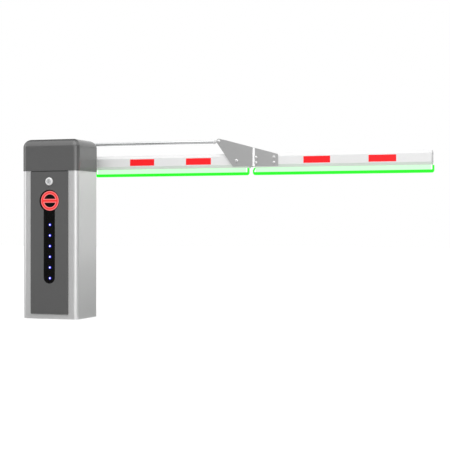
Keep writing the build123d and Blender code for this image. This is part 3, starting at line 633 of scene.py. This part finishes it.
def stacked(work, rings, place, facing):
    """A closed piece from (radius, height, is_hexagon) in mm, standing on a face."""
    loops = []
    for radius, height, is_hexagon in rings:
        made = bmesh.ops.create_circle(work, segments=RING_STEPS, radius=radius * MM)["verts"]
        if is_hexagon:
            for vert in made:
                angle = math.atan2(vert.co.y, vert.co.x) % SIXTH
                vert.co *= math.cos(SIXTH / 2) / math.cos(angle - SIXTH / 2)
        lift = Matrix.Translation((0, 0, height * MM))
        bmesh.ops.transform(
            work, matrix=Matrix.Translation(place) @ TURNS[facing] @ lift, verts=made)
        loops.append(list({edge for vert in made for edge in vert.link_edges}))
    for below, above in zip(loops, loops[1:]):
        bmesh.ops.bridge_loops(work, edges=below + above)
    for end in (loops[0], loops[-1]):
        bmesh.ops.contextual_create(work, geom=end)


def hardware(name, material, body, pieces):
    """One object for a set of like pieces: each is its rings, its place and its facing."""
    work = bmesh.new()
    for rings, place, facing in pieces:
        stacked(work, rings, place, facing)
    bmesh.ops.recalc_face_normals(work, faces=work.faces)
    made = finish_mesh(work, name, material)
    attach(made, body)
    return made


print("ring stacks ready, steps round:", RING_STEPS)

# %% [markdown]
# The fold bracket is held by four dome-headed bolts, and the two pivots have the same head in a
# larger size. In the picture they are the small dots on the grey plate, bright above and dark
# below: a glossy zinc plate does that, as it mirrors the sky above and the ground below.

# %% Dome heads on the fold bracket
BOLTS_LOW, BOLTS_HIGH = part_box("fold_bracket_bolts")
BOLT_HEAD = 6 * MM
BOLT_DOME = 7.5
PIN_DOME = 8.6
PLATE = 4 * MM
STAND_OFF = 12 * MM


def middle(node):
    """The middle of a node's box."""
    low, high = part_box(node)
    return (low + high) / 2


def domed(radius):
    """The rings of a smooth forged head: a short upright rim and a crown."""
    crown = [(1.0, 0.0), (1.0, 0.34), (0.95, 0.52), (0.83, 0.66), (0.64, 0.78), (0.34, 0.86)]
    return [(radius * r, radius * h, False) for r, h in crown]


heads = []
for x in (BOLTS_LOW.x + BOLT_HEAD, BOLTS_HIGH.x - BOLT_HEAD):
    for z in (BOLTS_LOW.z + BOLT_HEAD, BOLTS_HIGH.z - BOLT_HEAD):
        heads.append((domed(BOLT_DOME), (x, BOOM_LOW.y - PLATE, z), "front"))
for pin in ("fold_pin", "ear_pin"):
    place = (middle(pin).x, BOOM_LOW.y - STAND_OFF, middle(pin).z)
    heads.append((domed(PIN_DOME), place, "front"))
hardware("fold_bracket_heads", dome_zinc, "outer_boom", heads)
print("dome heads:", len(heads))

# %% [markdown]
# The back panel is held by a column of screws down each side, the rod's bracket by four
# hexagon screws, and the cap by two screws at its rear edge. A pan head is a washer face, a
# round top and a hexagon socket sunk into it. A hexagon head stands on a round washer face.

# %% Screws on the back
CABINET_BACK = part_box("rear_panel")[1].y
CAP_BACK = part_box("top_cap")[1].y
ANCHOR_LOW, ANCHOR_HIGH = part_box("rod_anchor_bracket")
PAN_SCREW = [
    (7.0, 0, False), (7.0, 1.2, False), (4.9, 1.2, False), (4.8, 2.2, False), (4.2, 3.2, False),
    (3.0, 3.9, False), (2.2, 4.0, False), (1.8, 4.0, True), (1.8, 2.2, True)]
HEX_SCREW = [
    (9.0, 0, False), (9.0, 1.6, False), (7.5, 1.6, True), (7.5, 6.4, True), (6.4, 7.1, False)]
PANEL_COLUMNS = (-98 * MM, 98 * MM)
PANEL_ROWS = (50 * MM, 250 * MM, 450 * MM, 650 * MM)
CAP_COLUMNS = (-52 * MM, 52 * MM)
CAP_ROW = 838 * MM
ANCHOR_COLUMNS = (-18 * MM, 18 * MM)
ANCHOR_ROWS = (16 * MM, 106 * MM)

panel_screws = [
    (PAN_SCREW, (x, CABINET_BACK, z), "back") for x in PANEL_COLUMNS for z in PANEL_ROWS]
panel_screws += [(PAN_SCREW, (x, CAP_BACK, CAP_ROW), "back") for x in CAP_COLUMNS]
hardware("back_screws", zinc_plate, "cabinet", panel_screws)

anchor_x = (ANCHOR_LOW.x + ANCHOR_HIGH.x) / 2
anchor_screws = [
    (HEX_SCREW, (anchor_x + x, ANCHOR_HIGH.y, ANCHOR_LOW.z + z), "back")
    for x in ANCHOR_COLUMNS for z in ANCHOR_ROWS]
hardware("anchor_screws", zinc_plate, "cabinet", anchor_screws)
print("screws on the back:", len(panel_screws) + len(anchor_screws))

# %% [markdown]
# The plugs in the boom's ends have two screws each, one above the other. They are the same pan
# heads, smaller and without the washer, so their rings are scaled from the others.

# %% Screws in the end plugs
PLUG_SCALE = 0.6
PLUG_SCREW = [
    (PLUG_SCALE * radius, PLUG_SCALE * height, six) for radius, height, six in PAN_SCREW[2:]]
PLUG_ROWS = (-22 * MM, 22 * MM)
END_PLUGS = (
    ("inner_boom", "inner_boom_root_plug", "root"), ("outer_boom", "outer_boom_tip_plug", "tip"))

for body, node, facing in END_PLUGS:
    low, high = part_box(node)
    face_x = low.x if facing == "root" else high.x
    places = [(face_x, middle(node).y, middle(node).z + z) for z in PLUG_ROWS]
    hardware(node + "_screws", zinc_plate, body, [(PLUG_SCREW, p, facing) for p in places])
print("plugs with screws:", len(END_PLUGS))

# %% [markdown]
# The status lamps are cast domes, not flat discs: a spherical cap on a short barrel. The same
# rings make them, with the cap's circle worked out from its width and its rise.

# %% Domed lenses
LENS_BARREL = 2.0
LENS_RISE = 3.0
LENS_STEPS = 8
LENS_WIDE = LED_RADIUS / MM
BALL = (LENS_WIDE ** 2 + LENS_RISE ** 2) / (2 * LENS_RISE)
EDGE_ANGLE = math.asin(LENS_WIDE / BALL)

lens_rings = [(LENS_WIDE, 0, False)]
for step in range(LENS_STEPS):
    angle = EDGE_ANGLE * (1 - step / LENS_STEPS)
    rise = BALL * (math.cos(angle) - math.cos(EDGE_ANGLE))
    lens_rings.append((BALL * math.sin(angle), LENS_BARREL + rise, False))
lens_places = [(0, LED_HIGH.y, LED_LOW.z + LED_RADIUS + i * LED_PITCH) for i in range(LED_COUNT)]
lenses = hardware(
    "status_lenses", lamp_blue, "cabinet", [(lens_rings, place, "front") for place in lens_places])
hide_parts("status_leds")
print("lenses:", len(lens_places), "rise (mm):", LENS_RISE)

# %% [markdown]
# The lock sits in a chrome collar with a round, raised rim. In the picture it is the white ring
# above the lamp, brightest on top. A collar like this is turned on a lathe, so its section is
# drawn once and spun round the lock's axis. The spin merges its last step with its first.

# %% Lock collar
COLLAR_LOW, COLLAR_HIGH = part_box("lock_collar")
COLLAR_STEPS = 48
COLLAR_SECTION = [
    (14.5, 0), (22.3, 0), (22.4, 1.5), (22.1, 3.2), (21.3, 4.8), (20.0, 6.2), (18.4, 7.2),
    (16.8, 7.7), (15.6, 7.8), (14.8, 7.4), (14.5, 6.6)]

work = bmesh.new()
points = [work.verts.new((radius * MM, 0, height * MM)) for radius, height in COLLAR_SECTION]
edges = [work.edges.new((a, b)) for a, b in zip(points, points[1:] + points[:1])]
bmesh.ops.spin(
    work, geom=edges, cent=(0, 0, 0), axis=(0, 0, 1), angle=math.tau, steps=COLLAR_STEPS,
    use_merge=True)
place = Matrix.Translation((0, COLLAR_HIGH.y, middle("lock_collar").z)) @ TURNS["front"]
bmesh.ops.transform(work, matrix=place, verts=work.verts)
bmesh.ops.recalc_face_normals(work, faces=work.faces)
collar = finish_mesh(work, "lock_collar_round", satin_chrome)
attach(collar, "cabinet")
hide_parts("lock_collar")
print("collar lift (mm):", round((COLLAR_HIGH.y - COLLAR_LOW.y) / MM, 1))

# %% [markdown]
# A bulb seal of black sponge rubber closes the gap between the door's top edge and the cap, and
# laps a little over the door. Its black and its lap are painted shade as well: they make the
# dark line of shade under the cap's overhang along the door's top. It is an extruded tube, so a
# long cylinder pressed flat stands for it.

# %% Door seal, black as painted shade under the cap
OPEN_CELL = 0.8 * MM
SEAL_LENGTH = 226 * MM
SEAL_DEPTH = 5 * MM
# The lap over the door widens the black line: painted shade under the cap's overhang
SEAL_LAP_PAINTED_SHADE = 2 * MM
SEAL_SET_BACK = 2.1 * MM


def painted_shade_rubber():
    """Black cellular rubber: matt, with fine open cells in the skin; the black also paints the
    shade under the cap.
    """
    material, tree, surface, place = start_material("black_rubber_painted_shade")
    cells = add_node(tree, "ShaderNodeTexNoise", inputs={
        "Vector": place, "Scale": 1 / OPEN_CELL, "Detail": 3.0})
    bump = add_node(tree, "ShaderNodeBump", inputs={
        "Height": cells.outputs[0], "Distance": 0.1 * MM, "Strength": 1.0})
    # Near black: the rubber's own colour, and also painted shade below the cap
    surface.inputs["Base Color"].default_value = colour("#080808")
    surface.inputs["Roughness"].default_value = 0.85
    tree.links.new(bump.outputs[0], surface.inputs["Normal"])
    return material


DOOR_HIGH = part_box("service_door")[1].z
CAP_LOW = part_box("top_cap")[0].z
DOOR_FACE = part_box("service_door")[0].y
seal_size = (SEAL_LENGTH, SEAL_DEPTH, CAP_LOW - DOOR_HIGH + SEAL_LAP_PAINTED_SHADE)
seal_z = (DOOR_HIGH - SEAL_LAP_PAINTED_SHADE + CAP_LOW) / 2

work = bmesh.new()
made = bmesh.ops.create_cone(
    work, cap_ends=True, segments=RING_STEPS, radius1=0.5, radius2=0.5, depth=1.0)["verts"]
place = Matrix.Translation((0, DOOR_FACE + SEAL_SET_BACK, seal_z))
bmesh.ops.transform(
    work, matrix=place @ Matrix.Diagonal((*seal_size, 1)) @ TURNS["tip"], verts=made)
bmesh.ops.recalc_face_normals(work, faces=work.faces)
# The black strip paints the shade that falls under the cap's overhang
seal = finish_mesh(work, "door_seal_painted_shade", painted_shade_rubber())
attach(seal, "cabinet")
print("seal (mm):", [round(v / MM, 1) for v in seal_size])

# %% [markdown]
# The stage is a plain pale floor under soft light. A backdrop as bright as paper would need
# strong lamps, which would bleach the object. So the floor gives off a little light of its own,
# enough to look white, but only towards the camera and glass, and less towards mirrors.

# %% Floor
FLOOR_SIZE = 40.0
FLOOR_GRAIN = 40 * MM
FLOOR_SEEN = 0.56
FLOOR_MIRRORED = 0.16
WHITE = (1, 1, 1, 1)


def white_behind(tree, seen, mirrored):
    """A strength for rays of the camera and of glass, one for mirrors, and none for others."""
    path = add_node(tree, "ShaderNodeLightPath")
    direct = add_node(tree, "ShaderNodeMath", {"operation": "MAXIMUM"}, {
        0: path.outputs["Is Camera Ray"], 1: path.outputs["Is Transmission Ray"]})
    glossy = add_node(tree, "ShaderNodeMath", {"operation": "MULTIPLY"}, {
        0: path.outputs["Is Glossy Ray"], 1: mirrored})
    return add_node(tree, "ShaderNodeMath", {"operation": "MULTIPLY_ADD"}, {
        0: direct.outputs[0], 1: seen, 2: glossy.outputs[0]}).outputs[0]


def floor_material():
    """Matt pale screed: it takes the object's shadow and shows no gloss."""
    material, tree, surface, place = start_material("matte_floor_pale")
    grain = add_node(tree, "ShaderNodeTexNoise", inputs={
        "Vector": place, "Scale": 1 / FLOOR_GRAIN})
    pale = add_node(tree, "ShaderNodeMix", {"data_type": "RGBA"}, {
        FACTOR: grain.outputs[0], COLOUR_A: colour("#D4D4D4"), COLOUR_B: colour("#D7D7D7")})
    glow = white_behind(tree, FLOOR_SEEN, FLOOR_MIRRORED)
    tree.links.new(pale.outputs[MIXED], surface.inputs["Base Color"])
    surface.inputs["Roughness"].default_value = 0.9
    surface.inputs["Specular IOR Level"].default_value = 0.0
    surface.inputs["Emission Color"].default_value = WHITE
    tree.links.new(glow, surface.inputs["Emission Strength"])
    return material


work = bmesh.new()
bmesh.ops.create_grid(work, x_segments=1, y_segments=1, size=FLOOR_SIZE / 2)
floor = finish_mesh(work, "floor", floor_material())
print("floor (m):", FLOOR_SIZE)

# %% [markdown]
# The world works the same way. The camera, glass and mirrors see white paper. Every other ray
# sees a soft sky that is dim near the ground and bright overhead, as in a room with a lit
# ceiling, and that shades the object gently from top to bottom.

# %% World
SOFT_SKY = {"From Min": -0.2, "From Max": 1.0, "To Min": 0.15, "To Max": 1.05}

world = bpy.data.worlds.new("studio")
bpy.context.scene.world = world
world.use_nodes = True
tree = world.node_tree
tree.nodes.clear()
direction = add_node(tree, "ShaderNodeTexCoord").outputs["Generated"]
rise = add_node(tree, "ShaderNodeSeparateXYZ", inputs={0: direction}).outputs["Z"]
level = add_node(tree, "ShaderNodeMapRange", inputs={"Value": rise, **SOFT_SKY})
soft, paper = [
    add_node(tree, "ShaderNodeBackground", inputs={"Color": WHITE, "Strength": strength})
    for strength in (level.outputs[0], 1.0)]
both = add_node(tree, "ShaderNodeMixShader", inputs={
    0: white_behind(tree, 1.0, 1.0), 1: soft.outputs[0], 2: paper.outputs[0]})
add_node(tree, "ShaderNodeOutputWorld", inputs={"Surface": both.outputs[0]})
print("world:", world.name)

# %% [markdown]
# Glossy paint shows what stands opposite it. A photographer hangs black cloth and grey card
# where a face would otherwise mirror the white room. Here a card is a flat sheet that gives
# off an even light, little or much. Only mirrors see it, and only from its front, so it leaves
# the floor, the shadows and the background as they are.

# %% A card for the mirrors


def hang_card(name, place, target, width, height, level):
    """A flat card that looks at a point and is seen in reflections only."""
    material = bpy.data.materials.new(name)
    material.use_nodes = True
    tree = material.node_tree
    tree.nodes.clear()
    rear = add_node(tree, "ShaderNodeNewGeometry").outputs["Backfacing"]
    lit = add_node(tree, "ShaderNodeEmission", inputs={"Color": WHITE, "Strength": level})
    clear = add_node(tree, "ShaderNodeBsdfTransparent")
    card_face = add_node(tree, "ShaderNodeMixShader", inputs={
        0: rear, 1: lit.outputs[0], 2: clear.outputs[0]})
    add_node(tree, "ShaderNodeOutputMaterial", inputs={"Surface": card_face.outputs[0]})
    work = bmesh.new()
    made = bmesh.ops.create_grid(work, x_segments=1, y_segments=1, size=0.5)["verts"]
    turn = (Vector(target) - Vector(place)).to_track_quat("Z", "Y").to_matrix().to_4x4()
    size = Matrix.Diagonal((width, height, 1, 1))
    bmesh.ops.transform(work, matrix=Matrix.Translation(place) @ turn @ size, verts=made)
    card = finish_mesh(work, name, material)
    card.visible_camera = False
    card.visible_diffuse = False
    card.visible_shadow = False
    card.visible_transmission = False


print("cards are lit sheets that only mirrors see")

# %% [markdown]
# Each card hangs where one face of the object mirrors it towards the camera. The dark ones
# keep dark faces dark and give the round corners a crisp line. The bright one shows as a white
# line on the bent strip of the fold bracket.

# %% Where the cards hang
# Place and target in metres, then width, height and brightness, where 1 is white paper
CARDS = {
    # In front, dark for the door, tray and cap, and grey where the round corner starts
    "cloth_front": ((-2.03, -3.6, 0.6), (-2.03, 0, 0.6), 2.35, 3.2, 0.06),
    "cloth_mid": ((0.03, -3.6, 0.6), (0.03, 0, 0.6), 1.75, 3.2, 0.4),
    # On the floor in front, for the foot of the cabinet
    "cloth_floor": ((-1.6, -1.87, 0.002), (-1.6, -1.87, 1), 3.2, 3.46, 0.06),
    "cloth_foot": ((0.075, -0.34, 0.002), (0.075, -0.34, 1), 0.15, 0.4, 0.14),
    # On the right, for the dark line in the round corner
    "cloth_right": ((3.5, 0.85, 0.8), (0.17, -0.1, 0.8), 3.9, 3.0, 0.04),
    "cloth_corner": ((1.4, -0.6, 0.75), (0, -0.6, 0.75), 0.6, 1.7, 0.02),
    # Behind, for the cabinet's side, which darkens towards its foot
    "cloth_behind": ((1.6, 2.8, 0.58), (0.17, 0, 0.58), 3.0, 0.74, 0.62),
    "cloth_low": ((1.6, 2.8, 0.105), (0.17, 0, 0.105), 3.0, 0.21, 0.12),
    # On the left, for the other round corner
    "cloth_left": ((-3.0, 0.9, 0.8), (-0.15, -0.13, 0.8), 5.0, 3.0, 0.55),
    # The bright one, for the bent strip of the fold bracket
    "card_bend": ((3.24, -1.14, 0.85), (1.1, 0.15, 0.85), 0.8, 1.6, 3.8),
    # On the floor beside the cabinet, for the foot of its side
    "cloth_foot_right": ((0.24, 0.2, 0.002), (0.24, 0.2, 1), 0.12, 0.6, 0.18),
    "cloth_floor_right": ((1.4, 0.9, 0.002), (1.4, 0.9, 1), 2.2, 2.6, 0.10),
    # Close above the cap, for the dark line along its front edge
    "cloth_top": ((-0.03, -0.09, 1.0865), (-0.03, -1, 1.0865), 0.41, 0.168, 0.02),
}

for name, settings in CARDS.items():
    hang_card(name, *settings)
print("cards:", list(CARDS))

# %% [markdown]
# Three large soft lamps shape the object: a broad one above and in front, which lights the tops
# of the boom and cap, a long one on the right, which puts the bright line down the cabinet's
# round corner, and one on the left, which keeps the cabinet's front from falling off.

# %% Lamps
# Place and target in metres, then width, height and brightness
LAMPS = {
    "lamp_front": ((0.9, -2.7, 4.9), (0.8, 0, 0.8), 4.8, 4.8, 1.2),
    "lamp_right": ((4.2, -4.6, 0.8), (0.17, -0.1, 0.8), 8.0, 1.5, 0.85),
    "lamp_left": ((-4.0, -1.6, 1.6), (-0.17, -0.1, 0.5), 3.0, 3.0, 1.0),
}


def soft_lamp(name, place, target, width, height, brightness):
    """A flat lamp that looks at a point; brightness 1 looks as bright as white paper."""
    data = bpy.data.lights.new(name, "AREA")
    data.shape = "RECTANGLE"
    data.size = width
    data.size_y = height
    data.energy = brightness * math.pi * width * height
    lamp = bpy.data.objects.new(name, data)
    bpy.context.scene.collection.objects.link(lamp)
    lamp.location = place
    lamp.rotation_euler = (Vector(target) - Vector(place)).to_track_quat("-Z", "Y").to_euler()


for name, settings in LAMPS.items():
    soft_lamp(name, *settings)
print("lamps:", list(LAMPS))

# %% [markdown]
# The picture was taken level, from the right of the cabinet, with a long lens. Its place was
# found by fitting a camera to the straight edges of the barrier.

# %% Camera
CAMERA_PLACE = Vector((3.0415, -5.986, 0.523))
CAMERA_TURN = math.radians(18.96)
LENS = 93.96
SENSOR = 36.0

data = bpy.data.cameras.new("camera")
data.lens = LENS
data.sensor_width = SENSOR
camera = bpy.data.objects.new("camera", data)
bpy.context.scene.collection.objects.link(camera)
camera.location = CAMERA_PLACE
camera.rotation_euler = (math.radians(90), 0, CAMERA_TURN)
bpy.context.scene.camera = camera
bpy.context.scene.view_settings.view_transform = "Standard"
print("camera at", [round(v, 3) for v in CAMERA_PLACE])
